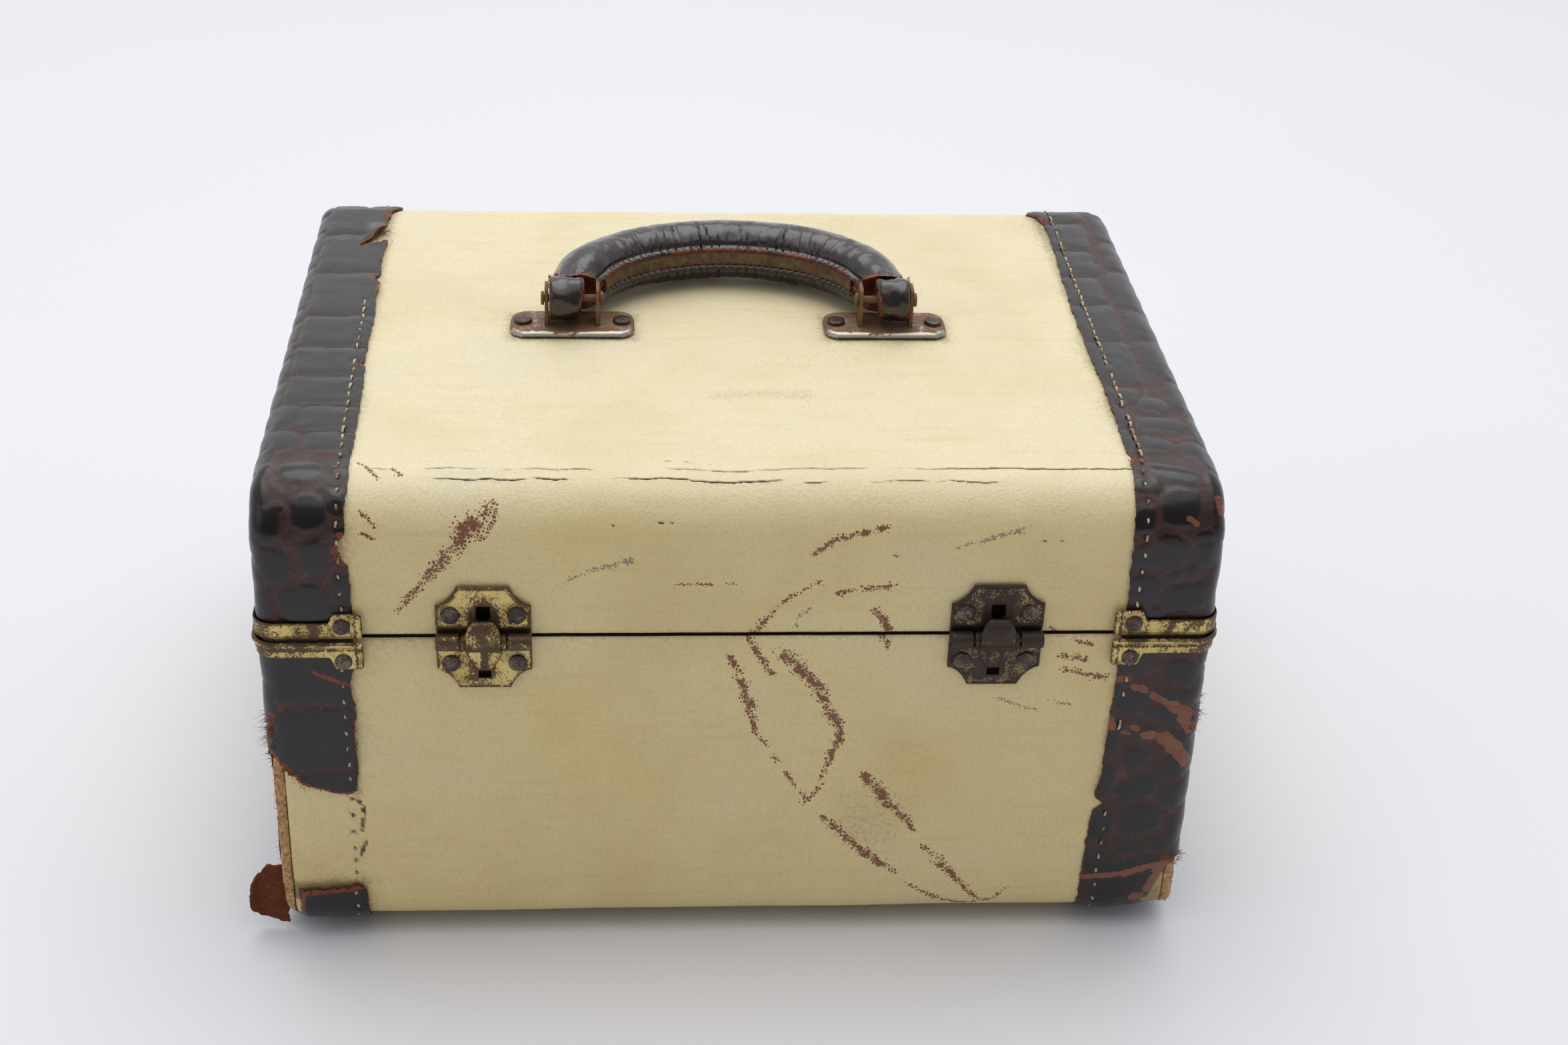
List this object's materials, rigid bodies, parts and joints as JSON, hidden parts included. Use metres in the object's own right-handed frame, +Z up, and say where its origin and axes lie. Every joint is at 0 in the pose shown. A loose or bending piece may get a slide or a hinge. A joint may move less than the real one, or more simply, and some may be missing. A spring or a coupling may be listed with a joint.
{
  "type": "makeup train case",
  "caption": "Hard-sided train case in cream coated cloth with dark leather-bound ends, hinged mirror lid, folding top handle and hinged hasp latches.",
  "frame": {"origin": "on the floor under the middle of the case, as it stands closed on its feet", "axes": "+X to the right as seen from the front, along the case's width; +Y to the back, where the hinges are; +Z up"},
  "size_m": [0.3322, 0.2746, 0.2085],
  "materials": {
    "cream_cloth": "coated book cloth with a fine pebble grain, grubby and scuffed",
    "brown_leather": "glossy embossed hide, cracked and worn red-brown at the edges",
    "plywood": "bare thin plywood",
    "lining": "satin-faced lining cloth",
    "worn_brass": "worn, with dark speckle",
    "dark_bronze": "dark brown patina",
    "rusted_nickel": "dull nickel plate with brown rust",
    "mirror_glass": "silvered glass",
    "thread": "waxed linen thread"
  },
  "bodies": {
    "base": {"base_shell": "plywood", "base_covering": "cream_cloth", "base_lining": "lining", "base_collar": "lining", "rear_pocket": "lining", "base_binding_left": "brown_leather", "base_binding_right": "brown_leather", "base_clip_front_left": "worn_brass", "base_clip_front_right": "worn_brass", "base_clip_rear_left": "worn_brass", "base_clip_rear_right": "worn_brass", "latch_plate_lower_left": "worn_brass", "latch_pin_left": "dark_bronze", "latch_spring_left": "dark_bronze", "latch_plate_lower_right": "dark_bronze", "latch_pin_right": "dark_bronze", "latch_spring_right": "dark_bronze", "hinge_leaf_base_left": "worn_brass", "hinge_pin_left": "worn_brass", "hinge_leaf_base_right": "worn_brass", "hinge_pin_right": "worn_brass", "foot_front_left": "rusted_nickel", "foot_front_right": "rusted_nickel", "foot_rear_left": "rusted_nickel", "foot_rear_right": "rusted_nickel"},
    "lid": {"lid_shell": "plywood", "lid_covering": "cream_cloth", "lid_lining": "lining", "lid_mirror": "mirror_glass", "mirror_frame": "brown_leather", "lid_binding_left": "brown_leather", "lid_binding_right": "brown_leather", "lid_clip_front_left": "worn_brass", "lid_clip_front_right": "worn_brass", "lid_clip_rear_left": "worn_brass", "lid_clip_rear_right": "worn_brass", "latch_plate_upper_left": "worn_brass", "latch_plate_upper_right": "dark_bronze", "hinge_leaf_lid_left": "worn_brass", "hinge_leaf_lid_right": "worn_brass", "handle_pin_left": "rusted_nickel", "handle_lug_left": "rusted_nickel", "handle_plate_left": "rusted_nickel", "handle_pin_right": "rusted_nickel", "handle_lug_right": "rusted_nickel", "handle_plate_right": "rusted_nickel", "handle_rivet_left_outer": "rusted_nickel", "handle_rivet_left_inner": "rusted_nickel", "handle_rivet_right_inner": "rusted_nickel", "handle_rivet_right_outer": "rusted_nickel"},
    "handle": {"handle_grip": "brown_leather", "handle_welt": "brown_leather", "handle_core": "rusted_nickel", "handle_end_left": "brown_leather", "handle_end_right": "brown_leather"},
    "hasp_left": {"hasp_left": "dark_bronze"},
    "hasp_right": {"hasp_right": "dark_bronze"}
  },
  "joints": [
    {"name": "lid_hinge", "type": "hinge", "parent": "base", "child": "lid", "pos_m": [0, 0.1333, 0.1307], "axis": [-1, 0, 0], "range_deg": [0, 100]},
    {"name": "handle_pivot", "type": "hinge", "parent": "lid", "child": "handle", "pos_m": [0, 0.001, 0.1972], "axis": [1, 0, 0], "range_deg": [0, 180]},
    {"name": "hasp_left_pivot", "type": "hinge", "parent": "base", "child": "hasp_left", "pos_m": [-0.088, -0.1333, 0.1305], "axis": [1, 0, 0], "range_deg": [0, 105]},
    {"name": "hasp_right_pivot", "type": "hinge", "parent": "base", "child": "hasp_right", "pos_m": [0.088, -0.1333, 0.1305], "axis": [1, 0, 0], "range_deg": [0, 105]}
  ]
}
